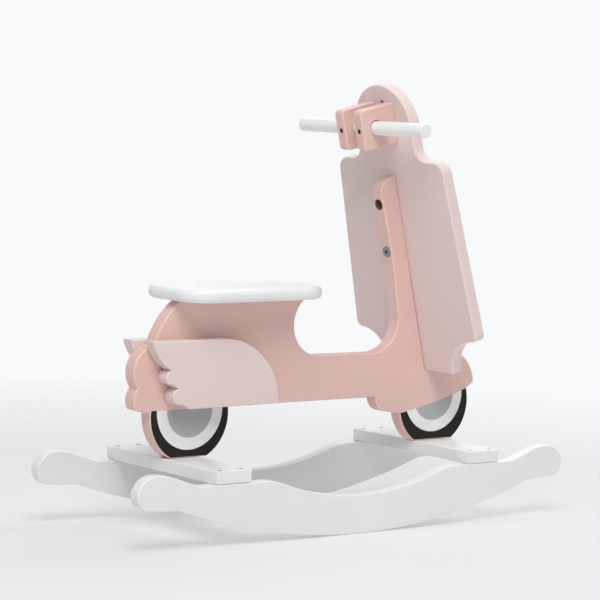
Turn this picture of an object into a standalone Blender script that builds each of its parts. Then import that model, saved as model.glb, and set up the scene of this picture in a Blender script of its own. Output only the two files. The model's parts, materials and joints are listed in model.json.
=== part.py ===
"""Rocking scooter toy, cut from flat boards. Metres, +Z up, +X to the front, floor at z = 0."""
import math

import bmesh
import bpy
import numpy as np
from mathutils import Matrix, Vector

# Stock and fits
GAP = 0.0003
PANEL = 0.022
BOARD = 0.018
EDGE = 0.0019
SEAT_EDGE = 0.0075
SAG = 0.0003
OPEN = 0.002

# Rockers and the cross boards that lie on them
SPAN = 0.260
ROCKER_Y = SPAN / 2 - BOARD / 2
ROCKER_R = 0.900
ROCKER_FLAT = 0.030
ROCKER_TOP_R = 0.391
ROCKER_TOP_LOW = 0.0534
ROCKER_HEEL = (0.3513, 0.0762, 0.0205)
ROCKER_TIP = (0.3415, 0.0693, 0.0325)
ROCKER_NECK = (0.3415, 0.0218, 0.0800)
ROCKER_SEAT = ((0.2735, 0.040), (0.1516, 0.080))
CROSS_Z = 0.0835
CROSS_TOP = CROSS_Z + BOARD
CROSS_WIDTH = 0.057
CROSS_X = 0.2195
CROSS_SCREW_DX = 0.0175

# Half wheels cut in one with the body panel, and the prints on them
WHEEL_R = 0.065
REAR_X = -0.2095
REAR_RISE = 0.058
FRONT_X = 0.2249
FRONT_RISE = 0.0547
REAR_PRINT = (-0.2098, 0.1662)
FRONT_PRINT = (0.2237, 0.1673)
WHITE_R = 0.054
HUB_R = 0.0373
FILM = 0.0004
FILM_INSET = 0.0012
REAR_CUT = ((-0.27, 0.168), (-0.21, 0.168), (-0.15, 0.168))
FRONT_CUT = ((0.1597, 0.1426), (0.2273, 0.1567), (0.2883, 0.1745))

# Body panel
UNDERSIDE_Z = 0.1685
SEAT_TOP = 0.3336
SEAT_UNDER = SEAT_TOP - BOARD
TAIL = (-0.1633, 0.2237, 0.1131)
KNEE = (0.0086, 0.2769, 0.0444)
INSTEP = (0.1068, 0.2773, 0.0450)
FENDER = (0.2464, 0.1771, 0.0550)

# Leg shield: leans back by LEAN, and its foot stands in the slot at SLOT
LEAN = math.radians(14.0)
SLOT = (0.2065, 0.2042)
SLOT_DEPTH = 0.0165
COLUMN_DEPTH = 0.0301
COLUMN_CORNER = 0.017
BOLT_SINK = (0.008, 0.0006)
BOLT_DOWN = (0.0346, 0.1042)
BOLT_R = 0.003
INSERT_R = 0.0055
INSERT_LENGTH = 0.0125
HEAD_R = 0.0614
HEAD_BELOW_BAR = 0.0080
NECK = 0.0485
NECK_FILLET = 0.020
SHOULDER = (0.1143, 0.018)
HIP = (0.1330, 0.0539, 0.009)
FOOT_HALF = 0.0714
FOOT_NOTCH = (0.1214, 0.002, 0.050)

# Grip blocks and handlebar
BLOCK_DEPTH = 0.060
BLOCK_HEIGHT = 0.058
BLOCK_CORNER = 0.007
BLOCK_Y = (PANEL + BOARD) / 2
BAR_R = 0.010
BAR_LENGTH = 0.2743
BAR_UP = 0.3679
BAR_BACK = 0.0356
BLOCK_LOW = BAR_UP - BLOCK_HEIGHT / 2
BLOCK_HIGH = BAR_UP + BLOCK_HEIGHT / 2
BLOCK_SCREW_UP = (BAR_R + BLOCK_HEIGHT / 2) / 2
LOCK_SINK = 0.0035
HEAD_SCREW_Y = -0.006
HEAD_UP = BAR_UP - HEAD_BELOW_BAR
SHOULDER_UP = HEAD_UP - NECK
COLUMN_TOP = BLOCK_LOW - 0.0506
BOLT_UP = tuple(COLUMN_TOP - down for down in BOLT_DOWN)

# Seat
SEAT_REAR = (-0.2480, 0.070, 0.040)
SEAT_FRONT = (-0.0045, 0.057, 0.045)
SEAT_SCREW_X = (-0.1975, -0.0635)

# Wings and the pins that hold them
WING_ARC = (-0.1686, 0.1706, 0.0929)
WING_PINS = ((-0.228, 0.240), (-0.112, 0.226), (-0.185, 0.192))
PIN_R = 0.004
PIN_REST = 0.005
LEFT_WING_SHIFT = (-0.006, -0.0015)

# Base colours, linear
SALMON = (0.600, 0.352, 0.305)
BLUSH = (0.700, 0.545, 0.520)
WHITE = (0.790, 0.800, 0.795)
BLACK = (0.022, 0.022, 0.022)
CREAM = (0.730, 0.710, 0.730)
HUB_GREY = (0.300, 0.310, 0.310)
ZINC = (0.420, 0.430, 0.430)
BRASS = (0.600, 0.430, 0.180)
BEECH = (0.560, 0.400, 0.240)

for old in list(bpy.data.objects):
    bpy.data.objects.remove(old, do_unlink=True)

scene = bpy.context.scene
toy = bpy.data.collections.new("rocking_scooter_toy")
scene.collection.children.link(toy)
cutters = bpy.data.collections.new("cutters")
scene.collection.children.link(cutters)
cutters.hide_render = True

# Local x, y and z of a panel seen from its side, and of a board on the leaning shield
SIDEWAYS = Matrix(((1, 0, 0), (0, 0, -1), (0, 1, 0)))
FORWARD = Vector((math.cos(LEAN), 0, math.sin(LEAN)))
UPSLOPE = Vector((-math.sin(LEAN), 0, math.cos(LEAN)))
LEANING = Matrix(((0, UPSLOPE.x, FORWARD.x), (1, 0, 0), (0, UPSLOPE.z, FORWARD.z)))
LEVEL = Matrix.Identity(3)


def on_shield(up, ahead, y=0.0):
    """World point: up the shield's slope from the slot's ledge, ahead of the shield's back face."""
    point = Vector((SLOT[0], y, SLOT[1])) + up * UPSLOPE + ahead * FORWARD
    return point


def beside(up, ahead, radius=None):
    """The same point as an outline point of a panel seen from its side."""
    point = on_shield(up, ahead)
    return (point.x, point.z) if radius is None else (point.x, point.z, radius)


def arc(x, z, radius, start, end):
    """Points round a circle, close enough that no chord leaves it by more than SAG."""
    step = min(20.0, 2 * math.degrees(math.acos(1 - SAG / radius)))
    pieces = max(1, math.ceil(abs(end - start) / step))
    angles = np.radians(np.linspace(start, end, pieces + 1))
    return [(x + radius * math.cos(a), z + radius * math.sin(a)) for a in angles]


def bow(first, middle, last):
    """A circular arc through three points."""
    (ax, az), (bx, bz), (cx, cz) = first, middle, last
    left = np.array([[bx - ax, bz - az], [cx - ax, cz - az]]) * 2
    right = [bx**2 + bz**2 - ax**2 - az**2, cx**2 + cz**2 - ax**2 - az**2]
    x, z = np.linalg.solve(left, right)
    angles = [math.degrees(math.atan2(p[1] - z, p[0] - x)) for p in (first, middle, last)]
    turn = (angles[2] - angles[0]) % 360
    if (angles[1] - angles[0]) % 360 > turn:
        turn -= 360
    return arc(x, z, math.hypot(ax - x, az - z), angles[0], angles[0] + turn)


def reach(centre_z, radius, z):
    """The angle at which a circle comes to the height z."""
    return math.degrees(math.asin((z - centre_z) / radius))


def outline(*parts):
    """Joins points and arcs. A point with a third number is a corner rounded to that radius."""
    knots = []
    for part in parts:
        knots += part if isinstance(part, list) else [part]
    points = []
    for i, knot in enumerate(knots):
        if len(knot) == 2:
            points.append(knot)
            continue
        here = Vector(knot[:2])
        one = (Vector(knots[i - 1][:2]) - here).normalized()
        two = (Vector(knots[(i + 1) % len(knots)][:2]) - here).normalized()
        half = one.angle(two) / 2
        centre = here + (one + two).normalized() * knot[2] / math.sin(half)
        start = here + one * knot[2] / math.tan(half) - centre
        begin = math.degrees(math.atan2(start.y, start.x))
        turn = 180 - math.degrees(2 * half)
        if one.x * two.y - one.y * two.x > 0:
            turn = -turn
        points += arc(centre.x, centre.y, knot[2], begin, begin + turn)
    return points


def mirrored(half):
    """Closes an outline that runs up one side of x = 0 with its mirror image."""
    other = [(-p[0], p[1]) for p in reversed(half) if abs(p[0]) > 0.0001]
    return half + other


def principled(name, colour, roughness, metallic):
    made = bpy.data.materials.new(name)
    made.use_nodes = True
    shader = made.node_tree.nodes["Principled BSDF"]
    shader.inputs["Base Color"].default_value = (*colour, 1)
    shader.inputs["Roughness"].default_value = roughness
    shader.inputs["Metallic"].default_value = metallic
    made.diffuse_color = (*colour, 1)
    return made


def finish(obj, colour, roughness=0.4, metallic=0.0):
    obj.data.materials.clear()
    obj.data.materials.append(principled(obj.name + "_material", colour, roughness, metallic))
    obj.data.shade_smooth()
    obj.data.set_sharp_from_angle(angle=math.radians(21))
    return obj


def place(obj, turn, at):
    obj.matrix_world = Matrix.Translation(at) @ turn.to_4x4()
    return obj


def slab(name, points, thickness, turn, at, colour, edge=EDGE, steps=1):
    """A flat board with rounded edges. Its outline lies in the board's middle plane."""
    drawn = bpy.data.curves.new(name + "_outline", "CURVE")
    drawn.dimensions = "2D"
    drawn.fill_mode = "BOTH"
    line = drawn.splines.new("POLY")
    line.points.add(len(points) - 1)
    line.points.foreach_set("co", [n for p in points for n in (p[0], p[1], 0, 1)])
    line.use_cyclic_u = True
    drawn.extrude = thickness / 2 - edge
    drawn.bevel_depth = edge
    drawn.bevel_resolution = steps
    drawn.offset = -edge
    holder = bpy.data.objects.new(name + "_outline", drawn)
    toy.objects.link(holder)
    return finish(realised(holder, name, turn, at, toy), colour)


def turned(name, profile, steps, turn, at, collection, ring=False):
    """A round piece. The profile runs down its outer side, or once round a ring's section."""
    mesh = bpy.data.meshes.new(name + "_profile")
    ends = [(i, i + 1) for i in range(len(profile) - 1)]
    if ring:
        ends.append((len(profile) - 1, 0))
    mesh.from_pydata([(r, 0, z) for r, z in profile], ends, [])
    holder = bpy.data.objects.new(name + "_profile", mesh)
    collection.objects.link(holder)
    screw = holder.modifiers.new("turn", "SCREW")
    screw.steps = steps
    screw.render_steps = steps
    screw.use_merge_vertices = True
    screw.merge_threshold = 0.00001
    return realised(holder, name, turn, at, collection)


def realised(holder, name, turn, at, collection):
    """Replaces a drawn shape by its mesh."""
    graph = bpy.context.evaluated_depsgraph_get()
    mesh = bpy.data.meshes.new_from_object(holder.evaluated_get(graph))
    bpy.data.objects.remove(holder, do_unlink=True)
    bm = bmesh.new()
    bm.from_mesh(mesh)
    bmesh.ops.remove_doubles(bm, verts=bm.verts, dist=0.00001)
    bmesh.ops.recalc_face_normals(bm, faces=bm.faces)
    bm.to_mesh(mesh)
    bm.free()
    obj = bpy.data.objects.new(name, mesh)
    collection.objects.link(obj)
    return place(obj, turn, at)


def cut(hosts, cutter):
    cutter.display_type = "WIRE"
    cutter.hide_render = True
    for host in hosts:
        taken = host.modifiers.new("cut_" + cutter.name, "BOOLEAN")
        taken.operation = "DIFFERENCE"
        taken.object = cutter


def facing(outward):
    """The turn that points local +Z along a direction."""
    return Vector(outward).to_track_quat("Z", "Y").to_matrix()


def pin(name, radius, length, turn, at, hosts, colour, chamfer, steps=16):
    """A round rod about its middle, in a hole that is GAP larger."""
    half = length / 2
    ends = [(radius - chamfer, half), (radius, half - chamfer)]
    rod = [(0, half)] + ends + [(r, -z) for r, z in reversed(ends)] + [(0, -half)]
    obj = turned(name, rod, steps, turn, at, toy)
    hole = [(0, half + GAP), (radius + GAP, half + GAP)]
    hole += [(r, -z) for r, z in reversed(hole)]
    cut(hosts, turned(name + "_hole", hole, steps, turn, at, cutters))
    return finish(obj, colour)


def fastener(name, at, outward, head, shank, sink, hosts, conical=False, steps=14):
    """A screw whose head lies sink below the surface point at. head and shank are (radius, length)."""
    turn = facing(outward)
    under = -sink - head[1]
    tip = under - shank[1]
    neck = shank[0] if conical else head[0]
    shape = [(0, -sink), (head[0], -sink), (neck, under)]
    bore = [(0, OPEN), (head[0] + GAP, OPEN)]
    if conical:
        bore += [(head[0] + GAP, -sink), (shank[0] + GAP, under - GAP)]
    else:
        shape.append((shank[0], under))
        bore += [(head[0] + GAP, under - GAP), (shank[0] + GAP, under - GAP)]
    shape += [(shank[0], tip), (0, tip)]
    bore += [(shank[0] + GAP, tip - GAP), (0, tip - GAP)]
    obj = turned(name, shape, steps, turn, at, toy)
    cut(hosts, turned(name + "_bore", bore, steps, turn, at, cutters))
    key = bmesh.new()
    depth = head[1] * 0.6
    radius = head[0] * 0.48
    bmesh.ops.create_cone(
        key, cap_ends=True, segments=6, radius1=radius, radius2=radius, depth=2 * depth
    )
    mesh = bpy.data.meshes.new(name + "_key")
    key.to_mesh(mesh)
    key.free()
    socket = bpy.data.objects.new(name + "_key", mesh)
    cutters.objects.link(socket)
    top = Vector(at) - turn.col[2] * sink
    place(socket, turn, top)
    cut([obj], socket)
    return finish(obj, ZINC, 0.35, 1.0)


# Rockers: one outline, cut twice
half_rocker = outline(
    bow((ROCKER_FLAT, 0), (0.160, ROCKER_R - math.sqrt(ROCKER_R**2 - 0.160**2)), (0.300, 0.0511)),
    (0.3065, 0.0532),
    arc(*ROCKER_HEEL, -88, 35),
    arc(*ROCKER_TIP, 46, 90),
    arc(*ROCKER_NECK, 96, 110),
    [(x, CROSS_Z - GAP, radius) for x, radius in ROCKER_SEAT],
    arc(0, ROCKER_TOP_LOW + ROCKER_TOP_R, ROCKER_TOP_R, -72.5, -90),
)
rockers = {}
for side, y in (("right", -ROCKER_Y), ("left", ROCKER_Y)):
    name = "rocker_" + side
    rockers[side] = slab(name, mirrored(half_rocker), BOARD, SIDEWAYS, (0, y, 0), WHITE)

# Cross boards
plank = [(x * CROSS_WIDTH / 2, y * SPAN / 2) for x, y in ((-1, -1), (1, -1), (1, 1), (-1, 1))]
planks = {}
for end, x in (("rear", -CROSS_X), ("front", CROSS_X)):
    at = (x, 0, CROSS_Z + BOARD / 2)
    planks[end] = slab("cross_board_" + end, plank, BOARD, LEVEL, at, WHITE)

# Body panel
rear_z = CROSS_TOP + REAR_RISE
front_z = CROSS_TOP + FRONT_RISE
rear_foot = reach(rear_z, WHEEL_R, CROSS_TOP + GAP)
front_foot = reach(front_z, WHEEL_R, CROSS_TOP + GAP)
body = slab(
    "body_panel",
    outline(
        arc(FRONT_X, front_z, WHEEL_R, front_foot, 14.5),
        (0.2883, 0.1745),
        (0.3008, 0.1822, 0.005),
        arc(*FENDER, 12, 113),
        beside(SLOT_DEPTH, BOARD + GAP),
        beside(-GAP, BOARD + GAP),
        beside(-GAP, -GAP),
        beside(COLUMN_TOP, -GAP),
        beside(COLUMN_TOP, -COLUMN_DEPTH, COLUMN_CORNER),
        (0.1399, 0.3560, 0.400),
        arc(*INSTEP, 9, -90),
        arc(*KNEE, -90, -180 - reach(KNEE[1], KNEE[2], SEAT_UNDER - GAP)),
        arc(*TAIL, 180 - reach(TAIL[1], TAIL[2], SEAT_UNDER - GAP), 160),
        (-0.2715, 0.2562),
        bow((-0.2760, 0.2550), (-0.3003, 0.2332), (-0.2960, 0.1995)),
        bow((-0.2960, 0.1985), (-0.3016, 0.1840), (-0.3000, 0.1740)),
        (-0.2985, 0.1698, 0.003),
        arc(REAR_X, rear_z, WHEEL_R, 176.4, 180 - rear_foot),
        arc(REAR_X, rear_z, WHEEL_R, 360 + rear_foot, 360 + reach(rear_z, WHEEL_R, UNDERSIDE_Z)),
        bow((0.1155, UNDERSIDE_Z), (0.1205, 0.1535), (0.1350, 0.1467)),
        arc(FRONT_X, front_z, WHEEL_R, 192.3, 180 - front_foot),
    ),
    PANEL,
    SIDEWAYS,
    (0, 0, 0),
    SALMON,
)

# Wings, one each side of the rear body
feathers = outline(
    (-0.2250, 0.1704),
    (-0.0757, 0.1715, 0.003),
    arc(*WING_ARC, 5, 90),
    bow((-0.2870, WING_ARC[1] + WING_ARC[2]), (-0.2752, 0.2398), (-0.2580, 0.2250)),
    bow((-0.2566, 0.2239), (-0.2648, 0.2150), (-0.2543, 0.2050)),
    (-0.2443, 0.1991),
    bow((-0.2455, 0.1985), (-0.2528, 0.1893), (-0.2386, 0.1773)),
)
wings = []
for side, at in (
    ("right", (0, -PANEL - GAP, 0)),
    ("left", (LEFT_WING_SHIFT[0], PANEL + GAP, LEFT_WING_SHIFT[1])),
):
    wings.append(slab("wing_" + side, feathers, PANEL, SIDEWAYS, at, BLUSH))
for number, (x, z) in enumerate(WING_PINS, 1):
    length = 3 * PANEL - 2 * PIN_REST
    across = facing((0, 1, 0))
    pin(f"wing_pin_{number}", PIN_R, length, across, (x, 0, z), [body] + wings, BEECH, 0.0008, 12)

# Leg shield
half_shield = outline(
    (FOOT_HALF, 0.0),
    arc(*FOOT_NOTCH, 178, 98),
    HIP,
    (SHOULDER[0], SHOULDER_UP, SHOULDER[1]),
    (HEAD_R, SHOULDER_UP, NECK_FILLET),
    arc(0, HEAD_UP, HEAD_R, 0, 90),
)
at = on_shield(0, BOARD / 2)
shield = slab("leg_shield", mirrored(half_shield), BOARD, LEANING, at, BLUSH)

# Grip blocks and handlebar
block_outline = outline(
    beside(BLOCK_LOW, -GAP),
    beside(BLOCK_HIGH, -GAP),
    beside(BLOCK_HIGH, -BLOCK_DEPTH, BLOCK_CORNER),
    beside(BLOCK_LOW, -BLOCK_DEPTH, BLOCK_CORNER),
)
blocks = {}
for side, y in (("right", -BLOCK_Y), ("left", BLOCK_Y)):
    blocks[side] = slab("grip_block_" + side, block_outline, BOARD, SIDEWAYS, (0, y, 0), SALMON)
at = on_shield(BAR_UP, -BAR_BACK)
across = facing((0, 1, 0))
pin("handlebar", BAR_R, BAR_LENGTH, across, at, list(blocks.values()), WHITE, 0.0014, 24)

# Seat
corners = [(x, -half, radius) for x, half, radius in (SEAT_REAR, SEAT_FRONT)]
corners += [(x, half, radius) for x, half, radius in (SEAT_FRONT, SEAT_REAR)]
at = (0, 0, SEAT_TOP - BOARD / 2)
seat = slab("seat_board", outline(*corners), BOARD, LEVEL, at, WHITE, SEAT_EDGE, 3)

# Screws through the seat, the cross boards and the wheels' feet
for end, x in zip(("rear", "front"), SEAT_SCREW_X):
    at = (x, 0, SEAT_TOP)
    fastener(f"seat_screw_{end}", at, (0, 0, 1), (0.008, 0.005), (0.003, 0.045), 0.0028, [seat, body])
for end, x, foot in (("rear", -CROSS_X, REAR_X), ("front", CROSS_X, FRONT_X)):
    for side, y in (("right", -ROCKER_Y), ("left", ROCKER_Y)):
        hosts = [planks[end], rockers[side]]
        for number, dx in ((1, -CROSS_SCREW_DX), (2, CROSS_SCREW_DX)):
            name = f"cross_board_screw_{end}_{side}_{number}"
            at = (x + dx, y, CROSS_TOP)
            fastener(name, at, (0, 0, 1), (0.0034, 0.003), (0.002, 0.034), 0.0008, hosts, True, 12)
    for number, dx in ((1, -0.015), (2, 0.015)):
        name = f"wheel_bolt_{end}_{number}"
        at = (foot + dx, 0, CROSS_Z)
        hosts = [planks[end], body]
        fastener(name, at, (0, 0, -1), (0.006, 0.005), (0.003, 0.042), 0.0010, hosts, False, 12)

# Bolts from the column's back edge into inserts in the shield
for place_name, up, sink in zip(("upper", "lower"), BOLT_UP, BOLT_SINK):
    hole = BOLT_R + GAP
    insert = [(INSERT_R, -GAP), (INSERT_R, -INSERT_LENGTH), (hole, -INSERT_LENGTH), (hole, -GAP)]
    turn = facing(-FORWARD)
    at = on_shield(up, 0)
    name = "shield_insert_" + place_name
    finish(turned(name, insert, 16, turn, at, toy, True), BRASS, 0.35, 1.0)
    bore = [(0, OPEN), (INSERT_R + GAP, OPEN)]
    bore += [(INSERT_R + GAP, -INSERT_LENGTH - GAP), (0, -INSERT_LENGTH - GAP)]
    cut([shield], turned(name + "_bore", bore, 16, turn, at, cutters))
    head = (0.0077, 0.006)
    shank = (BOLT_R, COLUMN_DEPTH + INSERT_LENGTH - 0.001 - sink - head[1])
    at = on_shield(up, -COLUMN_DEPTH)
    fastener("shield_bolt_" + place_name, at, -FORWARD, head, shank, sink, [body], False, 20)

# Screws that hold the grip blocks, lock the bar and mark the shield's head
for side, y in (("right", -BLOCK_Y), ("left", BLOCK_Y)):
    for number, up in enumerate((BAR_UP - BLOCK_SCREW_UP, BAR_UP + BLOCK_SCREW_UP), 1):
        name = f"grip_block_screw_{side}_{number}"
        at = on_shield(up, BOARD, y)
        hosts = [shield, blocks[side]]
        fastener(name, at, FORWARD, (0.004, 0.003), (0.0022, 0.036), 0.0008, hosts, True, 12)
    at = on_shield(BAR_UP, -BLOCK_DEPTH, y)
    shank = (0.0024, BLOCK_DEPTH - BAR_BACK - BAR_R - LOCK_SINK - 0.0045)
    name = "bar_lock_screw_" + side
    fastener(name, at, -FORWARD, (0.0033, 0.004), shank, LOCK_SINK, [blocks[side]])
at = on_shield(BLOCK_HIGH - 0.0004, 0, HEAD_SCREW_Y)
fastener("head_screw", at, -FORWARD, (0.0026, 0.003), (0.0014, 0.009), 0.0008, [shield], False, 12)


# Printed wheels, as thin films on both faces of the body panel
def below(x, z, radius, line):
    """The part of a circle under a cut line, from its left crossing to its right one."""
    found = []
    for far in (-250, 70):
        near = -90
        for _ in range(30):
            angle = (near + far) / 2
            a = math.radians(angle)
            if z + radius * math.sin(a) < line(x + radius * math.cos(a)):
                near = angle
            else:
                far = angle
        found.append(near)
    return arc(x, z, radius, found[0], found[1])


def printed_wheel(end, wheel_x, wheel_z, centre, cut_points):
    line = np.poly1d(np.polyfit(*zip(*cut_points), 2))
    rim = below(wheel_x, wheel_z, WHEEL_R - FILM_INSET, line)
    floor = CROSS_TOP + GAP + FILM_INSET
    side_way = math.sqrt((WHEEL_R - FILM_INSET) ** 2 - (wheel_z - floor) ** 2)
    rim = [p for p in rim if p[0] < wheel_x and p[1] > floor] + [
        (wheel_x - side_way, floor),
        (wheel_x + side_way, floor),
    ] + [p for p in rim if p[0] > wheel_x and p[1] > floor]
    white = below(*centre, WHITE_R, line)
    white_hole = below(*centre, HUB_R + GAP, line)
    hub = below(*centre, HUB_R, line)
    top = [(x, float(line(x))) for x in np.linspace(hub[-1][0], hub[0][0], 5)[1:-1]]
    shapes = {
        "tyre": (rim + below(*centre, WHITE_R + GAP, line)[::-1], BLACK),
        "whitewall": (white + white_hole[::-1], CREAM),
        "hub": (hub + top, HUB_GREY),
    }
    for side, y in (("right", -1), ("left", 1)):
        at = (0, y * (PANEL / 2 + GAP + FILM / 2), 0)
        for layer, (points, colour) in shapes.items():
            slab(f"{layer}_print_{end}_{side}", points, FILM, SIDEWAYS, at, colour, 0)


printed_wheel("rear", REAR_X, rear_z, REAR_PRINT, REAR_CUT)
printed_wheel("front", FRONT_X, front_z, FRONT_PRINT, FRONT_CUT)
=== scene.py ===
"""The look of the rocking scooter toy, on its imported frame. Metres, +X to the front, +Z up."""
import json
import math

import bmesh
import bpy
import numpy as np
from mathutils import Matrix, Vector

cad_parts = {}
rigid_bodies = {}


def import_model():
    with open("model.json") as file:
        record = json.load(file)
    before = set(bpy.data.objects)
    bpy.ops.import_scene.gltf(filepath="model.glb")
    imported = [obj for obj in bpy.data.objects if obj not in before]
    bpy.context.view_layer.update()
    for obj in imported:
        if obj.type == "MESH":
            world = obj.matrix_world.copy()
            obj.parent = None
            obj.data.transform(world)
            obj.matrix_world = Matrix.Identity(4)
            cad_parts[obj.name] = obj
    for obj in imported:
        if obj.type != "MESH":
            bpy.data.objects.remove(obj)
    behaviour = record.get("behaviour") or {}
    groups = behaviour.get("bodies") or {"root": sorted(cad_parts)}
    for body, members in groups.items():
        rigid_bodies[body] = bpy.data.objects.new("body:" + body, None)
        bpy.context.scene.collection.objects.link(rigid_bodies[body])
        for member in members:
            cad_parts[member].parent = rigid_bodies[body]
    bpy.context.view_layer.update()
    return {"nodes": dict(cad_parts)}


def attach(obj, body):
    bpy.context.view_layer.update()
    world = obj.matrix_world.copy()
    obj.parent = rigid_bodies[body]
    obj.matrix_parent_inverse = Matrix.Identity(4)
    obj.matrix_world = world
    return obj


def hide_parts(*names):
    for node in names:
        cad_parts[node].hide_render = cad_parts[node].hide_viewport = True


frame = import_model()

# Stock and fits
GAP = 0.0003
PANEL = 0.022
BOARD = 0.018
EDGE = 0.0019
SEAT_EDGE = 0.0075

# How finely shapes are drawn, tolerances, and how far a bore's cutter stands out of its board
SAG = 0.00003
ARC_STEP = 12.0
RIM_POINTS = 5
PRINT_TOP_POINTS = 24
HALVINGS = 40
SEAT_EDGE_STEPS = 7
BORE_STEPS = 48
SCREW_STEPS = 40
BAR_STEPS = 64
MERGE = 0.000002
ON_MIDDLE = 0.0001
FLAT_ANGLE = 0.0005
SHARP_ANGLE = math.radians(32)
OPEN = 0.002

# Rockers and the cross boards that lie on them. HEEL, TIP and NECK are arcs: x, z and radius.
# A ROCKER_SEAT point is x and the radius of its corner.
SPAN = 0.260
ROCKER_Y = SPAN / 2 - BOARD / 2
ROCKER_R = 0.900
ROCKER_FLAT = 0.030
SOLE_MIDDLE_X = 0.160
SOLE_END = (0.300, 0.0511)
HEEL_START = (0.3065, 0.0532)
ROCKER_TOP_R = 0.391
ROCKER_TOP_LOW = 0.0534
ROCKER_HEEL = (0.3513, 0.0762, 0.0205)
ROCKER_TIP = (0.3415, 0.0693, 0.0325)
ROCKER_NECK = (0.3415, 0.0218, 0.0800)
ROCKER_SEAT = ((0.2735, 0.040), (0.1516, 0.080))
CROSS_Z = 0.0835
CROSS_TOP = CROSS_Z + BOARD
CROSS_WIDTH = 0.057
CROSS_X = 0.2195
CROSS_SCREW_DX = 0.0175

# Half wheels cut in one with the body panel, and the prints on them. A CUT is three points of the
# curve above which nothing is printed.
WHEEL_R = 0.065
REAR_X = -0.2095
REAR_RISE = 0.058
FRONT_X = 0.2249
FRONT_RISE = 0.0547
REAR_PRINT = (-0.2098, 0.1662)
FRONT_PRINT = (0.2237, 0.1673)
WHITE_R = 0.054
HUB_R = 0.0373
FILM = 0.0003
FILM_INSET = 0.0012
FILM_PROUD = 0.00008
PRINT_GAP = 0.0001
REAR_CUT = ((-0.27, 0.168), (-0.21, 0.168), (-0.15, 0.168))
FRONT_CUT = ((0.1597, 0.1426), (0.2273, 0.1567), (0.2883, 0.1745))

# Body panel. A point's third number is the radius of its arc or corner.
UNDERSIDE_Z = 0.1685
SEAT_TOP = 0.3336
SEAT_UNDER = SEAT_TOP - BOARD
TAIL = (-0.1633, 0.2237, 0.1131)
TAIL_END = (-0.2715, 0.2562)
UPPER_BUMP = ((-0.2760, 0.2550), (-0.3003, 0.2332), (-0.2960, 0.1995))
LOWER_BUMP = ((-0.2960, 0.1985), (-0.3016, 0.1840), (-0.3000, 0.1740))
BUMP_FOOT = (-0.2985, 0.1698, 0.003)
KNEE = (0.0086, 0.2769, 0.0444)
INSTEP = (0.1068, 0.2773, 0.0450)
COLUMN_BACK = (0.1399, 0.3560, 0.400)
FENDER = (0.2464, 0.1771, 0.0550)
FENDER_STEP = (0.2883, 0.1745)
FENDER_END = (0.3008, 0.1822, 0.005)
FENDER_UNDER = ((0.1155, UNDERSIDE_Z), (0.1205, 0.1535), (0.1350, 0.1467))

# Leg shield. Heights are up its slope from the slot. SHOULDER is half width and corner radius, and
# HIP is half width, height and corner radius. FOOT_NOTCH is an arc.
LEAN = math.radians(14.0)
SLOT = (0.2065, 0.2042)
SLOT_DEPTH = 0.0165
COLUMN_DEPTH = 0.0301
COLUMN_CORNER = 0.017
JOINT_UP = 0.138
JOINT_STEP = 0.001
JOINT_GAP = 0.0008
HEAD_R = 0.0614
HEAD_BELOW_BAR = 0.0080
NECK = 0.0485
NECK_FILLET = 0.020
SHOULDER = (0.1143, 0.018)
HIP = (0.1330, 0.0539, 0.009)
FOOT_HALF = 0.0714
FOOT_NOTCH = (0.1214, 0.002, 0.050)

# Grip blocks and handlebar
BLOCK_DEPTH = 0.060
BLOCK_HEIGHT = 0.058
BLOCK_CORNER = 0.007
BLOCK_Y = (PANEL + BOARD) / 2
BAR_R = 0.010
BAR_EASE = 0.0016
BAR_HOLE_R = 0.0108
BAR_HOLE_RISE = 0.0005
BAR_HOLE_CUT = 0.05
BAR_HOLE_WALL = 0.04
BAR_LENGTH = 0.2743
BAR_UP = 0.3679
BAR_BACK = 0.0356
COLUMN_BELOW_BLOCK = 0.0506
BLOCK_LOW = BAR_UP - BLOCK_HEIGHT / 2
BLOCK_HIGH = BAR_UP + BLOCK_HEIGHT / 2
HEAD_UP = BAR_UP - HEAD_BELOW_BAR
SHOULDER_UP = HEAD_UP - NECK
COLUMN_TOP = BLOCK_LOW - COLUMN_BELOW_BLOCK

# Seat and wings. Each end of the seat is x, half width and corner radius.
SEAT_REAR = (-0.2480, 0.070, 0.040)
SEAT_FRONT = (-0.0045, 0.057, 0.045)
WING_FOOT = (-0.2250, 0.1704)
WING_NOSE = (-0.0757, 0.1715, 0.003)
WING_ARC = (-0.1686, 0.1706, 0.0929)
TOP_FEATHER = ((-0.2870, WING_ARC[1] + WING_ARC[2]), (-0.2752, 0.2398), (-0.2580, 0.2250))
MIDDLE_FEATHER = ((-0.2566, 0.2239), (-0.2648, 0.2150), (-0.2543, 0.2050))
FEATHER_NOTCH = (-0.2443, 0.1991)
LOW_FEATHER = ((-0.2455, 0.1985), (-0.2528, 0.1893), (-0.2386, 0.1773))
LEFT_WING_SHIFT = (-0.006, -0.0015)

# Screws and bolts. A head and a shank are each (radius, length). A sink is how far the head's top
# lies below the surface.
SEAT_SCREW = ((0.008, 0.005), (0.003, 0.045))
SEAT_SCREW_X = (-0.1975, -0.0635)
SEAT_SINK = 0.0028
SEAT_RIM = 0.003
CROSS_SCREW = ((0.0034, 0.003), (0.002, 0.034))
WHEEL_BOLT = ((0.006, 0.005), (0.003, 0.042))
WHEEL_BOLT_DX = 0.015
WHEEL_BOLT_SINK = 0.0010
BOLT_HEAD = (0.0077, 0.006)
BOLT_R = 0.003
BOLT_SINK = (0.008, 0.0006)
BOLT_DOWN = (0.0346, 0.1042)
BOLT_UP = tuple(COLUMN_TOP - down for down in BOLT_DOWN)
BOLT_SPARE = 0.001
INSERT_LENGTH = 0.0125
BLOCK_SCREW = ((0.004, 0.003), (0.0022, 0.036))
BLOCK_SCREW_UP = (BAR_R + BLOCK_HEIGHT / 2) / 2
LOCK_HEAD = (0.0033, 0.004)
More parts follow.
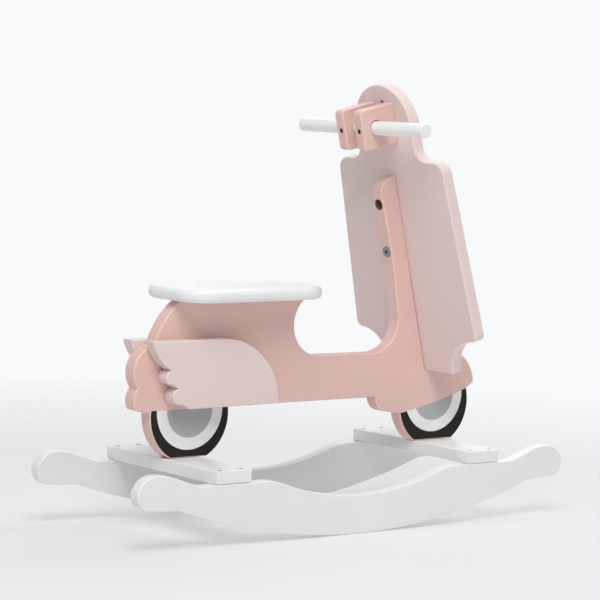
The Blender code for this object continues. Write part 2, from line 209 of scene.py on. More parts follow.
LOCK_SHANK_R = 0.0024
LOCK_SINK = 0.0035
LOCK_SPARE = 0.0045
HEAD_SCREW = ((0.0026, 0.003), (0.0014, 0.009))
HEAD_SCREW_Y = -0.006
HEAD_SCREW_DROP = 0.0004
FLUSH = 0.0008
HEAD_EASE = 0.0006
HEAD_EASE_SHARE = 0.12
CONE_LIP = 0.0006
BORE_RIM = 0.0004

# Key sockets, as shares of the head's radius and depth. WIDE_KEY is for radii over WIDE_HEAD.
WIDE_HEAD = 0.007
WIDE_KEY = 0.34
SMALL_KEY = 0.50
KEY_DEPTH = 0.62

SIDEWAYS = Matrix(((1, 0, 0), (0, 0, -1), (0, 1, 0)))
FORWARD = Vector((math.cos(LEAN), 0, math.sin(LEAN)))
UPSLOPE = Vector((-math.sin(LEAN), 0, math.cos(LEAN)))
LEANING = Matrix(((0, UPSLOPE.x, FORWARD.x), (1, 0, 0), (0, UPSLOPE.z, FORWARD.z)))
LEVEL = Matrix.Identity(3)

scene = bpy.context.scene
cutters = bpy.data.collections.new("cutters")
scene.collection.children.link(cutters)


def srgb(*levels):
    """A colour written as 0 to 255, as the scene's linear numbers."""
    shares = [level / 255 for level in levels]
    return [s / 12.92 if s <= 0.04045 else ((s + 0.055) / 1.055) ** 2.4 for s in shares]


def shaded(colour, share):
    """A linear colour made darker or lighter."""
    return [min(1.0, c * share) for c in colour]


# Shader nodes
def feed(tree, socket, value):
    """Gives an input a socket's output, a number or a plain colour."""
    if isinstance(value, bpy.types.NodeSocket):
        tree.links.new(value, socket)
    elif isinstance(value, (int, float)):
        socket.default_value = value
    else:
        socket.default_value = (*value, 1)


def noise(tree, place, scale, detail=3.0, stretch=None):
    """A noise read in the object's own metres, drawn out by stretch."""
    source = place
    if stretch is not None:
        mapping = tree.nodes.new("ShaderNodeMapping")
        mapping.inputs["Scale"].default_value = stretch
        tree.links.new(place, mapping.inputs["Vector"])
        source = mapping.outputs["Vector"]
    node = tree.nodes.new("ShaderNodeTexNoise")
    node.inputs["Scale"].default_value = scale
    node.inputs["Detail"].default_value = detail
    tree.links.new(source, node.inputs["Vector"])
    return node.outputs["Fac"]


def ranged(tree, value, low, high, start=0.3, end=0.7):
    """Maps a value between start and end to low and high. The defaults suit a noise."""
    node = tree.nodes.new("ShaderNodeMapRange")
    node.inputs["From Min"].default_value = start
    node.inputs["From Max"].default_value = end
    node.inputs["To Min"].default_value = low
    node.inputs["To Max"].default_value = high
    tree.links.new(value, node.inputs["Value"])
    return node.outputs["Result"]


def mixed(tree, factor, one, two):
    """Mixes two colours, each a socket or a plain colour."""
    node = tree.nodes.new("ShaderNodeMix")
    node.data_type = "RGBA"
    feed(tree, node.inputs[0], factor)
    feed(tree, node.inputs[6], one)
    feed(tree, node.inputs[7], two)
    return node.outputs[2]


def mixed_shaders(tree, factor, one, two):
    """Mixes two shaders."""
    node = tree.nodes.new("ShaderNodeMixShader")
    for socket, value in zip(node.inputs, (factor, one, two)):
        tree.links.new(value, socket)
    return node.outputs[0]


def maths(tree, operation, one, two):
    """One step of arithmetic on sockets or plain numbers."""
    node = tree.nodes.new("ShaderNodeMath")
    node.operation = operation
    feed(tree, node.inputs[0], one)
    feed(tree, node.inputs[1], two)
    return node.outputs[0]


def bumped(tree, shader, layers):
    """Stacks bumps of (height socket, depth in metres)."""
    before = None
    for height, depth in layers:
        node = tree.nodes.new("ShaderNodeBump")
        node.inputs["Distance"].default_value = depth
        node.inputs["Strength"].default_value = 1.0
        tree.links.new(height, node.inputs["Height"])
        if before is not None:
            tree.links.new(before, node.inputs["Normal"])
        before = node.outputs["Normal"]
    tree.links.new(before, shader.inputs["Normal"])


def attribute(tree, name):
    """One of the marks that settle() leaves on the faces."""
    node = tree.nodes.new("ShaderNodeAttribute")
    node.attribute_name = name
    return node.outputs["Fac"]


def begun(name):
    """A new material, with its tree, its shader and the object's own coordinates."""
    made = bpy.data.materials.new(name)
    made.use_nodes = True
    tree = made.node_tree
    shader = tree.nodes["Principled BSDF"]
    place = tree.nodes.new("ShaderNodeTexCoord").outputs["Object"]
    return made, tree, shader, place


# Materials
# The core colours are bare board drawn darker than it is, as painted shade in bores.
SHADED_CORE_DARK = (0.15, 0.085, 0.065)
SHADED_CORE_LIGHT = (0.26, 0.16, 0.125)
BEECH_DARK = (0.50, 0.33, 0.19)
BEECH_LIGHT = (0.62, 0.44, 0.27)
BEECH_PORE = (0.30, 0.18, 0.09)
INK_DOT = (0.5, 0.5, 0.5)
GRIME = (0.06, 0.06, 0.06)
SCRATCHED = (1, 14, 1)
PORES_ALONG = (1, 0.06, 1)
RINGS_ALONG = (1, 0.1, 1)


def lacquer(name, colour, thin_paint_and_highlight_colour, roughness):
    """Sprayed paint on board: faint clouds, orange peel, edges lighter for thinner paint and a painted
    highlight, bore walls in bare core darkened as painted shade.
    """
    made, tree, shader, place = begun(name)
    edge = attribute(tree, "edge")
    wall = attribute(tree, "wall")
    fibre = noise(tree, place, 260.0, 3.0)

    cloud = ranged(tree, noise(tree, place, 7.0, 2.0), 0, 1)
    tone = mixed(tree, cloud, shaded(colour, 0.995), shaded(colour, 1.004))
    speck = ranged(tree, noise(tree, place, 900.0, 2.0), 0, 0.02)
    tone = mixed(tree, speck, tone, shaded(colour, 0.86))
    # Rounded edges take a lighter tone in patches: thinner paint there, and a painted highlight line along
    # the bevel.
    thin_paint_and_highlight = ranged(tree, noise(tree, place, 38.0, 5.0), 0.35, 0.95)
    tone = mixed(tree, maths(tree, "MULTIPLY", edge, thin_paint_and_highlight), tone, thin_paint_and_highlight_colour)
    scuff = ranged(tree, noise(tree, place, 120.0, 6.0), 0, 0.35, 0.6, 0.75)
    tone = mixed(tree, maths(tree, "MULTIPLY", edge, scuff), tone, shaded(colour, 0.80))
    # Bore walls show the bare core, drawn dark as painted shade in the bore.
    shaded_core = mixed(tree, ranged(tree, fibre, 0, 1), SHADED_CORE_DARK, SHADED_CORE_LIGHT)
    tone = mixed(tree, attribute(tree, "bare_and_shaded"), tone, shaded_core)
    tree.links.new(tone, shader.inputs["Base Color"])

    rough = ranged(tree, noise(tree, place, 26.0, 5.0), roughness - 0.05, roughness + 0.06)
    rough = maths(tree, "ADD", rough, maths(tree, "MULTIPLY", wall, 0.07))
    tree.links.new(rough, shader.inputs["Roughness"])
    shader.inputs["IOR"].default_value = 1.47

    swell = noise(tree, place, 30.0, 2.0)
    peel = noise(tree, place, 520.0, 2.0)
    walled = maths(tree, "MULTIPLY", fibre, ranged(tree, wall, 0.25, 1.0, 0, 1))
    bumped(tree, shader, [(swell, 0.000012), (peel, 0.00001), (walled, 0.00003)])
    return made


def printed(name, colour, roughness, dots=0.05, ior=1.45):
    """A screen printed layer: even, a little chalky, with the paint's texture under it."""
    made, tree, shader, place = begun(name)
    cloud = ranged(tree, noise(tree, place, 18.0, 4.0), 0, 1, 0.35, 0.65)
    tone = mixed(tree, cloud, shaded(colour, 0.95), shaded(colour, 1.05))
    speck = ranged(tree, noise(tree, place, 1300.0, 2.0), 0, dots, 0.5, 0.75)
    tone = mixed(tree, speck, tone, INK_DOT)
    tree.links.new(tone, shader.inputs["Base Color"])
    rough = ranged(tree, noise(tree, place, 60.0, 4.0), roughness - 0.05, roughness + 0.07)
    tree.links.new(rough, shader.inputs["Roughness"])
    shader.inputs["IOR"].default_value = ior
    swell = noise(tree, place, 30.0, 2.0)
    chalk = noise(tree, place, 700.0, 2.0)
    bumped(tree, shader, [(swell, 0.00008), (chalk, 0.00002)])
    return made


def steel(name, colour, roughness):
    """Plated metal: fine scratches, dull patches and dark grime."""
    made, tree, shader, place = begun(name)
    patch = noise(tree, place, 600.0, 4.0)
    line = noise(tree, place, 900.0, 2.0, SCRATCHED)
    tone = mixed(tree, ranged(tree, patch, 0, 1), shaded(colour, 0.78), colour)
    grime = ranged(tree, noise(tree, place, 240.0, 5.0), 0, 0.5, 0.55, 0.75)
    tone = mixed(tree, grime, tone, GRIME)
    tree.links.new(tone, shader.inputs["Base Color"])
    shader.inputs["Metallic"].default_value = 1.0
    rough = ranged(tree, line, roughness - 0.08, roughness + 0.12)
    tree.links.new(rough, shader.inputs["Roughness"])
    bumped(tree, shader, [(line, 0.00002), (patch, 0.00001)])
    return made


def beech(name):
    """Bare beech: fine long pores and pale rings."""
    made, tree, shader, place = begun(name)
    pore = noise(tree, place, 900.0, 5.0, PORES_ALONG)
    ring = noise(tree, place, 120.0, 3.0, RINGS_ALONG)
    tone = mixed(tree, ranged(tree, ring, 0, 1), BEECH_DARK, BEECH_LIGHT)
    tone = mixed(tree, ranged(tree, pore, 0, 0.6, 0.5, 0.7), tone, BEECH_PORE)
    tree.links.new(tone, shader.inputs["Base Color"])
    tree.links.new(ranged(tree, pore, 0.5, 0.7), shader.inputs["Roughness"])
    bumped(tree, shader, [(pore, 0.00006)])
    return made


looks = {
    # Each lacquer's second colour is its lighter edge tone: thinner paint and a painted highlight.
    "salmon": lacquer("salmon_lacquer", srgb(231, 195, 187), srgb(241, 207, 200), 0.40),
    "blush": lacquer("blush_lacquer", srgb(233, 214, 211), srgb(238, 222, 219), 0.40),
    "white": lacquer("white_lacquer", srgb(237, 239, 238), srgb(242, 243, 243), 0.36),
    # The handlebar's lacquer is the white lacquer drawn lighter, as painted light on the bar.
    "rod": lacquer("rod_painted_light_lacquer", srgb(244, 245, 243), srgb(246, 246, 246), 0.34),
    "black": printed("black_print_ink", srgb(36, 34, 33), 0.50, 0.02, 1.22),
    "cream": printed("cream_print_ink", srgb(240, 241, 242), 0.42),
    "grey": printed("grey_print_ink", srgb(172, 174, 177), 0.42),
    "steel": steel("plated_steel", (0.30, 0.32, 0.32), 0.44),
    "brass": steel("insert_metal", (0.62, 0.46, 0.20), 0.32),
    "beech": beech("bare_beech"),
}


# Outlines
def on_shield(up, ahead, y=0.0):
    """A point so far up the shield's rear face from the slot, and so far ahead of that face."""
    return Vector((SLOT[0], y, SLOT[1])) + up * UPSLOPE + ahead * FORWARD


def beside(up, ahead, radius=None):
    """The same point in a side outline, with the radius of its corner if it has one."""
    point = on_shield(up, ahead)
    return (point.x, point.z) if radius is None else (point.x, point.z, radius)


def arc(x, z, radius, start, end):
    """Points along a circle about (x, z), from one angle in degrees to another."""
    step = min(ARC_STEP, 2 * math.degrees(math.acos(1 - SAG / radius)))
    pieces = max(1, math.ceil(abs(end - start) / step))
    angles = np.radians(np.linspace(start, end, pieces + 1))
    return [(x + radius * math.cos(a), z + radius * math.sin(a)) for a in angles]


def bow(first, middle, last):
    """The arc through three points."""
    (ax, az), (bx, bz), (cx, cz) = first, middle, last
    left = np.array([[bx - ax, bz - az], [cx - ax, cz - az]]) * 2
    right = [bx**2 + bz**2 - ax**2 - az**2, cx**2 + cz**2 - ax**2 - az**2]
    x, z = np.linalg.solve(left, right)
    angles = [math.degrees(math.atan2(p[1] - z, p[0] - x)) for p in (first, middle, last)]
    turn = (angles[2] - angles[0]) % 360
    if (angles[1] - angles[0]) % 360 > turn:
        turn -= 360
    return arc(x, z, math.hypot(ax - x, az - z), angles[0], angles[0] + turn)


def reach(centre_z, radius, z):
    """The angle in degrees at which a circle comes to the height z."""
    return math.degrees(math.asin((z - centre_z) / radius))


def outline(*parts):
    """Joins points and arcs. A point with a third number is a corner rounded to that radius."""
    knots = []
    for part in parts:
        knots += part if isinstance(part, list) else [part]
    points = []
    for i, knot in enumerate(knots):
        if len(knot) == 2:
            points.append(knot)
            continue
        here = Vector(knot[:2])
        one = (Vector(knots[i - 1][:2]) - here).normalized()
        two = (Vector(knots[(i + 1) % len(knots)][:2]) - here).normalized()
        half = one.angle(two) / 2
        centre = here + (one + two).normalized() * knot[2] / math.sin(half)
        start = here + one * knot[2] / math.tan(half) - centre
        begin = math.degrees(math.atan2(start.y, start.x))
        turn = 180 - math.degrees(2 * half)
        if one.x * two.y - one.y * two.x > 0:
            turn = -turn
        points += arc(centre.x, centre.y, knot[2], begin, begin + turn)
    return points


def mirrored(half):
    """A half outline with its mirror image. A point on the middle line comes once."""
    other = [(-p[0], p[1]) for p in reversed(half) if abs(p[0]) > ON_MIDDLE]
    return half + other


def quarter(r, z, radius, start, end):
    """Profile points of a rounded rim about (r, z)."""
    angles = np.radians(np.linspace(start, end, RIM_POINTS))
    return [(r + radius * math.cos(a), z + radius * math.sin(a)) for a in angles]


# Solids
pieces = {}
drilled = []


def keep(obj, node, look):
    """Notes a piece, the CAD node that it stands for and its look."""
    pieces[node] = (obj, look)
    return obj


def facing(outward):
    """A turn whose third axis points outward."""
    return Vector(outward).to_track_quat("Z", "Y").to_matrix()


def realised(holder, name, turn, at, collection):
    """Replaces a drawn shape by its mesh, with its place in the mesh."""
    graph = bpy.context.evaluated_depsgraph_get()
    mesh = bpy.data.meshes.new_from_object(holder.evaluated_get(graph))
    bpy.data.objects.remove(holder, do_unlink=True)
    bm = bmesh.new()
    bm.from_mesh(mesh)
    bmesh.ops.remove_doubles(bm, verts=bm.verts, dist=MERGE)
    bmesh.ops.recalc_face_normals(bm, faces=bm.faces)
    flat = [e for e in bm.edges if len(e.link_faces) == 2 and e.calc_face_angle(1.0) < FLAT_ANGLE]
    bmesh.ops.dissolve_edges(bm, edges=flat, use_verts=False, use_face_split=False)
    bm.transform(Matrix.Translation(at) @ turn.to_4x4())
    bm.to_mesh(mesh)
    bm.free()
    obj = bpy.data.objects.new(name, mesh)
    collection.objects.link(obj)
    return obj


def slab(node, look, points, thickness, turn, at, edge=EDGE, steps=3):
    """A flat board with rounded edges. Its outline lies in the board's middle plane."""
    drawn = bpy.data.curves.new(node + "_outline", "CURVE")
    drawn.dimensions = "2D"
    drawn.fill_mode = "BOTH"
    line = drawn.splines.new("POLY")
    line.points.add(len(points) - 1)
    line.points.foreach_set("co", [n for p in points for n in (p[0], p[1], 0, 1)])
    line.use_cyclic_u = True
    drawn.extrude = thickness / 2 - edge
    drawn.bevel_depth = edge
    drawn.bevel_resolution = steps
    drawn.offset = -edge
    holder = bpy.data.objects.new(node + "_outline", drawn)
    scene.collection.objects.link(holder)
    obj = realised(holder, node + "_fine", turn, at, scene.collection)
    obj["flat_way"] = list(turn.col[2])
    return keep(obj, node, look)


def turned(name, profile, steps, turn, at, collection):
    """A round piece. The profile runs down its outer side."""
    mesh = bpy.data.meshes.new(name + "_profile")
    ends = [(i, i + 1) for i in range(len(profile) - 1)]
    mesh.from_pydata([(r, 0, z) for r, z in profile], ends, [])
    holder = bpy.data.objects.new(name + "_profile", mesh)
    collection.objects.link(holder)
    screw = holder.modifiers.new("turn", "SCREW")
    screw.steps = steps
    screw.render_steps = steps
    screw.use_merge_vertices = True
    screw.merge_threshold = MERGE
    return realised(holder, name, turn, at, collection)


def cut(hosts, cutter):
    """Takes the cutter's shape out of each host."""
    cutter.hide_render = True
    for host in hosts:
        taken = host.modifiers.new("cut_" + cutter.name, "BOOLEAN")
        taken.operation = "DIFFERENCE"
        taken.object = cutter


def bore(name, radius, deep, turn, at, hosts, floor, rim):
    """A drilled hole with an eased rim. floor is the profile below its wall."""
    drilled.append((Vector(at) - turn.col[2] * rim, turn.col[2].copy(), radius, deep))
    profile = [(0, OPEN), (radius + rim + OPEN, OPEN), (radius + rim, 0)]
    profile += [(radius, -rim), (radius, -deep), *floor, (0, floor[-1][1])]
    cut(hosts, turned(name + "_bore", profile, BORE_STEPS, turn, at, cutters))


def key_socket(name, head, turn, at):
    """The cutter for the six-sided hole in a screw's head."""
    radius = head[0] * (WIDE_KEY if head[0] > WIDE_HEAD else SMALL_KEY)
    long = 2 * head[1] * KEY_DEPTH
    key = bmesh.new()
    bmesh.ops.create_cone(key, cap_ends=True, segments=6, radius1=radius, radius2=radius, depth=long)
    key.transform(Matrix.Translation(at) @ turn.to_4x4())
    mesh = bpy.data.meshes.new(name + "_key")
    key.to_mesh(mesh)
    key.free()
    socket = bpy.data.objects.new(name + "_key", mesh)
    cutters.objects.link(socket)
    return socket


def fastener(node, at, outward, head, shank, sink, hosts, conical=False, rim=BORE_RIM):
    """A socket screw with its bore. Its head's top lies sink below the surface point at."""
    turn = facing(outward)
    under = -sink - head[1]
    tip = under - shank[1]
    ease = min(HEAD_EASE, head[0] * HEAD_EASE_SHARE)
    shape = [(0, -sink)] + quarter(head[0] - ease, -sink - ease, ease, 90, 0)
    if conical:
        shape.append((head[0], -sink - CONE_LIP))
        deep = sink + CONE_LIP
    else:
        shape.append((head[0], under))
        deep = sink + head[1] + GAP
    shape += [(shank[0], under), (shank[0], tip), (0, tip)]
    floor = [(shank[0] + GAP, under - GAP), (shank[0] + GAP, tip - GAP)]
    obj = turned(node + "_fine", shape, SCREW_STEPS, turn, at, scene.collection)
    bore(node, head[0] + GAP, deep, turn, at, hosts, floor, rim)
    cut([obj], key_socket(node, head, turn, Vector(at) - turn.col[2] * sink))
    keep(obj, node, "steel")


# Rockers and cross boards
half_rocker = outline(
    bow((ROCKER_FLAT, 0), (SOLE_MIDDLE_X, ROCKER_R - math.sqrt(ROCKER_R**2 - SOLE_MIDDLE_X**2)), SOLE_END),
    HEEL_START,
    arc(*ROCKER_HEEL, -88, 35),
    arc(*ROCKER_TIP, 46, 90),
    arc(*ROCKER_NECK, 96, 110),
    [(x, CROSS_Z - GAP, radius) for x, radius in ROCKER_SEAT],
    arc(0, ROCKER_TOP_LOW + ROCKER_TOP_R, ROCKER_TOP_R, -72.5, -90),
)
rockers = {}
for side, y in (("right", -ROCKER_Y), ("left", ROCKER_Y)):
    rockers[side] = slab("rocker_" + side, "white", mirrored(half_rocker), BOARD, SIDEWAYS, (0, y, 0))

plank = [(x * CROSS_WIDTH / 2, y * SPAN / 2) for x, y in ((-1, -1), (1, -1), (1, 1), (-1, 1))]
planks = {}
for end, x in (("rear", -CROSS_X), ("front", CROSS_X)):
    at = (x, 0, CROSS_Z + BOARD / 2)
    planks[end] = slab("cross_board_" + end, "white", plank, BOARD, LEVEL, at)

# Body panel
rear_z = CROSS_TOP + REAR_RISE
front_z = CROSS_TOP + FRONT_RISE
rear_foot = reach(rear_z, WHEEL_R, CROSS_TOP + GAP)
front_foot = reach(front_z, WHEEL_R, CROSS_TOP + GAP)
body_outline = outline(
    arc(FRONT_X, front_z, WHEEL_R, front_foot, 14.5),
    FENDER_STEP,
    FENDER_END,
    arc(*FENDER, 12, 113),
    beside(SLOT_DEPTH, BOARD + GAP),
    beside(-GAP, BOARD + GAP),
    beside(-GAP, -JOINT_GAP),
    beside(JOINT_UP, -JOINT_GAP),
    beside(JOINT_UP + JOINT_STEP, -JOINT_GAP),
    beside(JOINT_UP + 2 * JOINT_STEP, -GAP),
    beside(COLUMN_TOP, -GAP),
    beside(COLUMN_TOP, -COLUMN_DEPTH, COLUMN_CORNER),
    COLUMN_BACK,
    arc(*INSTEP, 9, -90),
    arc(*KNEE, -90, -180 - reach(KNEE[1], KNEE[2], SEAT_UNDER - GAP)),
    arc(*TAIL, 180 - reach(TAIL[1], TAIL[2], SEAT_UNDER - GAP), 160),
    TAIL_END,
    bow(*UPPER_BUMP),
    bow(*LOWER_BUMP),
    BUMP_FOOT,
    arc(REAR_X, rear_z, WHEEL_R, 176.4, 180 - rear_foot),
    arc(REAR_X, rear_z, WHEEL_R, 360 + rear_foot, 360 + reach(rear_z, WHEEL_R, UNDERSIDE_Z)),
    bow(*FENDER_UNDER),
    arc(FRONT_X, front_z, WHEEL_R, 192.3, 180 - front_foot),
)
body = slab("body_panel", "salmon", body_outline, PANEL, SIDEWAYS, (0, 0, 0))

# Wings
feathers = outline(
    WING_FOOT,
    WING_NOSE,
    arc(*WING_ARC, 5, 90),
    bow(*TOP_FEATHER),
    bow(*MIDDLE_FEATHER),
    FEATHER_NOTCH,
    bow(*LOW_FEATHER),
)
slab("wing_right", "blush", feathers, PANEL, SIDEWAYS, (0, -PANEL - GAP, 0))
at = (LEFT_WING_SHIFT[0], PANEL + GAP, LEFT_WING_SHIFT[1])
slab("wing_left", "blush", feathers, PANEL, SIDEWAYS, at)

# Leg shield
half_shield = outline(
    (FOOT_HALF, 0.0),
    arc(*FOOT_NOTCH, 178, 98),
    HIP,
    (SHOULDER[0], SHOULDER_UP, SHOULDER[1]),
    (HEAD_R, SHOULDER_UP, NECK_FILLET),
    arc(0, HEAD_UP, HEAD_R, 0, 90),
)
shield = slab("leg_shield", "blush", mirrored(half_shield), BOARD, LEANING, on_shield(0, BOARD / 2))

# Grip blocks and handlebar
block_outline = outline(
    beside(BLOCK_LOW, -GAP),
    beside(BLOCK_HIGH, -GAP),
    beside(BLOCK_HIGH, -BLOCK_DEPTH, BLOCK_CORNER),
    beside(BLOCK_LOW, -BLOCK_DEPTH, BLOCK_CORNER),
)
blocks = {}
for side, y in (("right", -BLOCK_Y), ("left", BLOCK_Y)):
    blocks[side] = slab("grip_block_" + side, "salmon", block_outline, BOARD, SIDEWAYS, (0, y, 0))
across = facing((0, 1, 0))
half = BAR_LENGTH / 2
rod = [(0, half)] + quarter(BAR_R - BAR_EASE, half - BAR_EASE, BAR_EASE, 90, 0)
rod += [(r, -z) for r, z in reversed(rod)]
bar_at = on_shield(BAR_UP, -BAR_BACK)
keep(turned("handlebar_fine", rod, BAR_STEPS, across, bar_at, scene.collection), "handlebar", "rod")
hole = [(0, BAR_HOLE_CUT), (BAR_HOLE_R, BAR_HOLE_CUT), (BAR_HOLE_R, -BAR_HOLE_CUT), (0, -BAR_HOLE_CUT)]
at = on_shield(BAR_UP + BAR_HOLE_RISE, -BAR_BACK)
cut(blocks.values(), turned("bar_hole", hole, BAR_STEPS, across, at, cutters))
sideways = Vector((0, 1, 0))
drilled.append((at + BAR_HOLE_WALL * sideways, sideways, BAR_HOLE_R, 2 * BAR_HOLE_WALL))

# Seat
corners = [(x, -half_width, radius) for x, half_width, radius in (SEAT_REAR, SEAT_FRONT)]
corners += [(x, half_width, radius) for x, half_width, radius in (SEAT_FRONT, SEAT_REAR)]
at = (0, 0, SEAT_TOP - BOARD / 2)
seat = slab("seat_board", "white", outline(*corners), BOARD, LEVEL, at, SEAT_EDGE, SEAT_EDGE_STEPS)

# Screws in the seat, and screws and bolts in the cross boards
UP = (0, 0, 1)
DOWN = (0, 0, -1)
for end, x in zip(("rear", "front"), SEAT_SCREW_X):
    at = (x, 0, SEAT_TOP)
    fastener("seat_screw_" + end, at, UP, *SEAT_SCREW, SEAT_SINK, [seat, body], rim=SEAT_RIM)
for end, x, foot in (("rear", -CROSS_X, REAR_X), ("front", CROSS_X, FRONT_X)):
    for side, y in (("right", -ROCKER_Y), ("left", ROCKER_Y)):
        for number, dx in ((1, -CROSS_SCREW_DX), (2, CROSS_SCREW_DX)):
            node = f"cross_board_screw_{end}_{side}_{number}"
            hosts = [planks[end], rockers[side]]
            fastener(node, (x + dx, y, CROSS_TOP), UP, *CROSS_SCREW, FLUSH, hosts, True)
    for number, dx in ((1, -WHEEL_BOLT_DX), (2, WHEEL_BOLT_DX)):
        node = f"wheel_bolt_{end}_{number}"
        at = (foot + dx, 0, CROSS_Z)
        fastener(node, at, DOWN, *WHEEL_BOLT, WHEEL_BOLT_SINK, [planks[end], body])

# Bolts and screws of the leg shield and the grip blocks
for place_name, up, sink in zip(("upper", "lower"), BOLT_UP, BOLT_SINK):
    shank = (BOLT_R, COLUMN_DEPTH + INSERT_LENGTH - BOLT_SPARE - sink - BOLT_HEAD[1])
    at = on_shield(up, -COLUMN_DEPTH)
    fastener("shield_bolt_" + place_name, at, -FORWARD, BOLT_HEAD, shank, sink, [body])
for side, y in (("right", -BLOCK_Y), ("left", BLOCK_Y)):
    for number, up in enumerate((BAR_UP - BLOCK_SCREW_UP, BAR_UP + BLOCK_SCREW_UP), 1):
        node = f"grip_block_screw_{side}_{number}"
        fastener(node, on_shield(up, BOARD, y), FORWARD, *BLOCK_SCREW, FLUSH, [shield, blocks[side]], True)
    at = on_shield(BAR_UP, -BLOCK_DEPTH, y)
    shank = (LOCK_SHANK_R, BLOCK_DEPTH - BAR_BACK - BAR_R - LOCK_SINK - LOCK_SPARE)
    fastener("bar_lock_screw_" + side, at, -FORWARD, LOCK_HEAD, shank, LOCK_SINK, [blocks[side]])
at = on_shield(BLOCK_HIGH - HEAD_SCREW_DROP, 0, HEAD_SCREW_Y)
fastener("head_screw", at, -FORWARD, *HEAD_SCREW, FLUSH, [shield])


# Printed wheels
def below(x, z, radius, line):
    """The part of a circle under a cut line, from its left crossing to its right one."""
    found = []
    for far in (-250, 70):
        near = -90
        for _ in range(HALVINGS):
            angle = (near + far) / 2
            a = math.radians(angle)
            if z + radius * math.sin(a) < line(x + radius * math.cos(a)):
                near = angle
            else:
                far = angle
        found.append(near)
    return arc(x, z, radius, found[0], found[1])


def tyre_rim(wheel_x, wheel_z, line):
    """The tyre print's outer edge: the wheel's rim, cut flat just over the cross board."""
    radius = WHEEL_R - FILM_INSET
    floor = CROSS_TOP + GAP + FILM_INSET
    half_foot = math.sqrt(radius**2 - (wheel_z - floor) ** 2)
    rim = [p for p in below(wheel_x, wheel_z, radius, line) if p[1] > floor]
    foot = [(wheel_x - half_foot, floor), (wheel_x + half_foot, floor)]
    return [p for p in rim if p[0] < wheel_x] + foot + [p for p in rim if p[0] > wheel_x]


def printed_wheel(end, wheel_x, wheel_z, centre, cut_points):
    """The tyre, white wall and hub cap on both faces of a half wheel."""
    line = np.poly1d(np.polyfit(*zip(*cut_points), 2))
    hub = below(*centre, HUB_R, line)
    top = [(x, float(line(x))) for x in np.linspace(hub[-1][0], hub[0][0], PRINT_TOP_POINTS)[1:-1]]
    tyre_hole = below(*centre, WHITE_R + PRINT_GAP, line)[::-1]
    white_hole = below(*centre, HUB_R + PRINT_GAP, line)[::-1]
    shapes = {
        "tyre": (tyre_rim(wheel_x, wheel_z, line) + tyre_hole, "black"),
        "whitewall": (below(*centre, WHITE_R, line) + white_hole, "cream"),
        "hub": (hub + top, "grey"),
    }
    for side, y in (("right", -1), ("left", 1)):
        at = (0, y * (PANEL / 2 - FILM / 2 + FILM_PROUD), 0)
        for layer, (points, look) in shapes.items():
            slab(f"{layer}_print_{end}_{side}", look, points, FILM, SIDEWAYS, at, 0, 0)


printed_wheel("rear", REAR_X, rear_z, REAR_PRINT, REAR_CUT)
printed_wheel("front", FRONT_X, front_z, FRONT_PRINT, FRONT_CUT)


# Finishing
EDGE_LEAN = (0.05, 0.995)
WALL_LEAN = 0.3
BORE_SLACK = 0.0001
BORE_SHARE = 0.9


def in_bore(centres, normals, at, way, radius, deep):
    """Which faces are the wall of a bore that starts at a point and runs against way."""
    out = centres - np.array(at)
    depth = out @ np.array(way)
    outward = out - depth[:, None] * np.array(way)
    off = np.linalg.norm(outward, axis=1)
    near = (off < radius + BORE_SLACK) & (off > BORE_SHARE * radius)
    turned_in = (normals * outward).sum(1) < -BORE_SHARE * off
    return near & turned_in & (depth < BORE_SLACK) & (depth > -deep)


def settle(obj, look):
    """Applies the cuts, marks rounded edges, walls and bore walls for the paint and its painted shade, and
    smooths the shading.
    """
    graph = bpy.context.evaluated_depsgraph_get()
    mesh = bpy.data.meshes.new_from_object(obj.evaluated_get(graph))
    obj.modifiers.clear()
    obj.data = mesh
    mesh.materials.clear()
    mesh.materials.append(looks[look])
    centres = np.array([face.center for face in mesh.polygons])
    normals = np.array([face.normal for face in mesh.polygons])
    edge, wall, bare_and_shaded = np.zeros((3, len(centres)), np.float32)
    if "flat_way" in obj:
        lean = abs(normals @ np.array(obj["flat_way"]))
        edge[(lean > EDGE_LEAN[0]) & (lean < EDGE_LEAN[1])] = 1.0
        wall[lean < WALL_LEAN] = 1.0
        # Bore walls are marked for bare core with painted shade; the seat's recesses stay painted.
        if "seat" not in obj.name:
            for hole in drilled:
                bare_and_shaded[in_bore(centres, normals, *hole)] = 1.0
    for key, values in (("edge", edge), ("wall", wall), ("bare_and_shaded", bare_and_shaded)):
        mesh.attributes.new(key, "FLOAT", "FACE").data.foreach_set("value", values)
    mesh.shade_smooth()
    mesh.set_sharp_from_angle(angle=SHARP_ANGLE)
    weighted = obj.modifiers.new("flat_faces", "WEIGHTED_NORMAL")
    weighted.keep_sharp = True
    weighted.weight = 60


bpy.context.view_layer.update()
for node, (obj, look) in pieces.items():
    settle(obj, look)
    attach(obj, "root")
    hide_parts(node)
for cutter in list(cutters.objects):
    bpy.data.objects.remove(cutter, do_unlink=True)
bpy.data.collections.remove(cutters)

# The pins and inserts keep their CAD shapes
for node, obj in frame["nodes"].items():
    if node not in pieces:
        for held in obj.material_slots:
            held.material = looks["beech"] if "pin" in node else looks["brass"]


# Floor: matt paper that fades into the backdrop away from the toy
FLOOR_R = 30
FLOOR_DROP = 0.0002
FADE_FROM = 0.75
FADE_TO = 1.7
GLOW_NEAR = 0.42
BACKDROP = srgb(248, 249, 250)
PAPER_DARK = (0.745, 0.747, 0.748)
PAPER_LIGHT = (0.752, 0.754, 0.755)
PAPER_BOUNCE = (0.90, 0.90, 0.90)


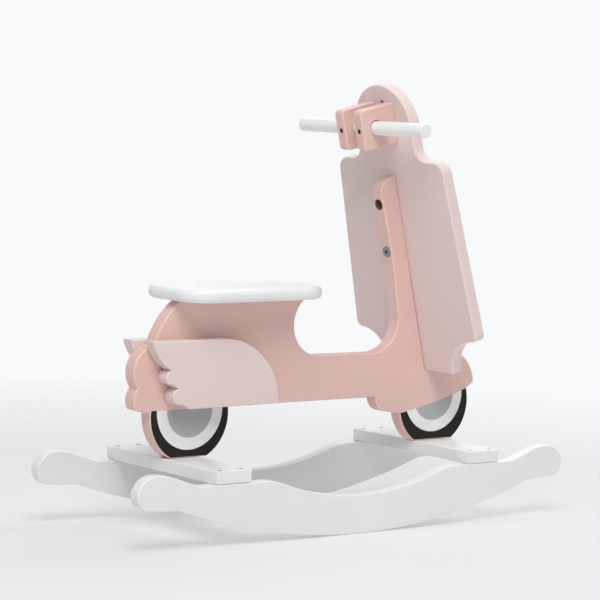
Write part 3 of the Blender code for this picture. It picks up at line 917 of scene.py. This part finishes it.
def studio_paper(name):
    """Paper that fades into the backdrop for the camera, and is plain white to all other rays."""
    made, tree, shader, place = begun(name)
    shader.inputs["Roughness"].default_value = 0.9
    shader.inputs["Specular IOR Level"].default_value = 0.0
    grain = mixed(tree, noise(tree, place, 5.0), PAPER_DARK, PAPER_LIGHT)
    tree.links.new(grain, shader.inputs["Base Color"])
    far = tree.nodes.new("ShaderNodeVectorMath")
    far.operation = "LENGTH"
    tree.links.new(place, far.inputs[0])
    away = ranged(tree, far.outputs["Value"], GLOW_NEAR, 1, FADE_FROM, FADE_TO)
    glow = tree.nodes.new("ShaderNodeEmission")
    glow.inputs["Color"].default_value = (*BACKDROP, 1)
    camera_ray = tree.nodes.new("ShaderNodeLightPath").outputs["Is Camera Ray"]
    seen = maths(tree, "MULTIPLY", away, camera_ray)
    faded = mixed_shaders(tree, seen, shader.outputs[0], glow.outputs[0])
    paper = tree.nodes.new("ShaderNodeBsdfDiffuse")
    paper.inputs["Color"].default_value = (*PAPER_BOUNCE, 1)
    bounce = mixed_shaders(tree, camera_ray, paper.outputs[0], faded)
    tree.links.new(bounce, tree.nodes["Material Output"].inputs["Surface"])
    return made


at = (0, 0, -FLOOR_DROP)
bpy.ops.mesh.primitive_circle_add(vertices=96, radius=FLOOR_R, fill_type="TRIFAN", location=at)
floor = bpy.context.object
floor.name = "studio_floor"
floor.data.materials.append(studio_paper("studio_floor"))

# World: soft ambient light, with a near white background for camera, gloss and glass
world = bpy.data.worlds.new("studio")
scene.world = world
world.use_nodes = True
tree = world.node_tree
light = tree.nodes["Background"]
light.inputs["Color"].default_value = (1.0, 1.0, 1.0, 1)
light.inputs["Strength"].default_value = 0.29
shown = tree.nodes.new("ShaderNodeBackground")
shown.inputs["Color"].default_value = (*BACKDROP, 1)
shown.inputs["Strength"].default_value = 1.0
rays = tree.nodes.new("ShaderNodeLightPath").outputs
direct = maths(tree, "MAXIMUM", rays["Is Camera Ray"], rays["Is Glossy Ray"])
direct = maths(tree, "MAXIMUM", direct, rays["Is Transmission Ray"])
lit = mixed_shaders(tree, direct, light.outputs[0], shown.outputs[0])
tree.links.new(lit, tree.nodes["World Output"].inputs["Surface"])

# Lamps
LAMP_SIZE = 1.6
LAMP_AWAY = 3.2
LAMP_AIM = Vector((0, 0, 0.3))
CAMERA_SIDE = -127.8


def lamp(name, round_about, elevation, power):
    """A square soft light that faces the toy, at angles in degrees from the camera's side and up."""
    data = bpy.data.lights.new(name, "AREA")
    data.shape = "SQUARE"
    data.size = LAMP_SIZE
    data.energy = power
    obj = bpy.data.objects.new(name, data)
    scene.collection.objects.link(obj)
    turn = math.radians(round_about + CAMERA_SIDE)
    rise = math.radians(elevation)
    way = Vector((math.cos(turn) * math.cos(rise), math.sin(turn) * math.cos(rise), math.sin(rise)))
    obj.matrix_world = Matrix.Translation(LAMP_AIM + LAMP_AWAY * way) @ facing(way).to_4x4()


lamp("key_left", -30, 50, 11.1)
lamp("key_front", 0, 50, 56.0)
lamp("side_right", 90, 50, 4.9)
lamp("rear_right", 135, 40, 35.0)
lamp("rear", 180, 40, 10.0)

# Camera at the photograph's place
right = Vector((0.79159087, -0.61006994, 0.03462039))
above = Vector((0.02418861, 0.08789764, 0.99583579))
back = Vector((-0.61057253, -0.78745709, 0.08433571))
eye = Vector((-2.21341, -2.82962, 0.61329))
turn = Matrix((right, above, back)).transposed().to_4x4()
camera = bpy.data.objects.new("camera", bpy.data.cameras.new("camera"))
scene.collection.objects.link(camera)
camera.matrix_world = Matrix.Translation(eye) @ turn
camera.data.sensor_width = 36.0
camera.data.lens = 154.374
camera.data.clip_end = 100.0
scene.camera = camera
scene.view_settings.view_transform = "Standard"
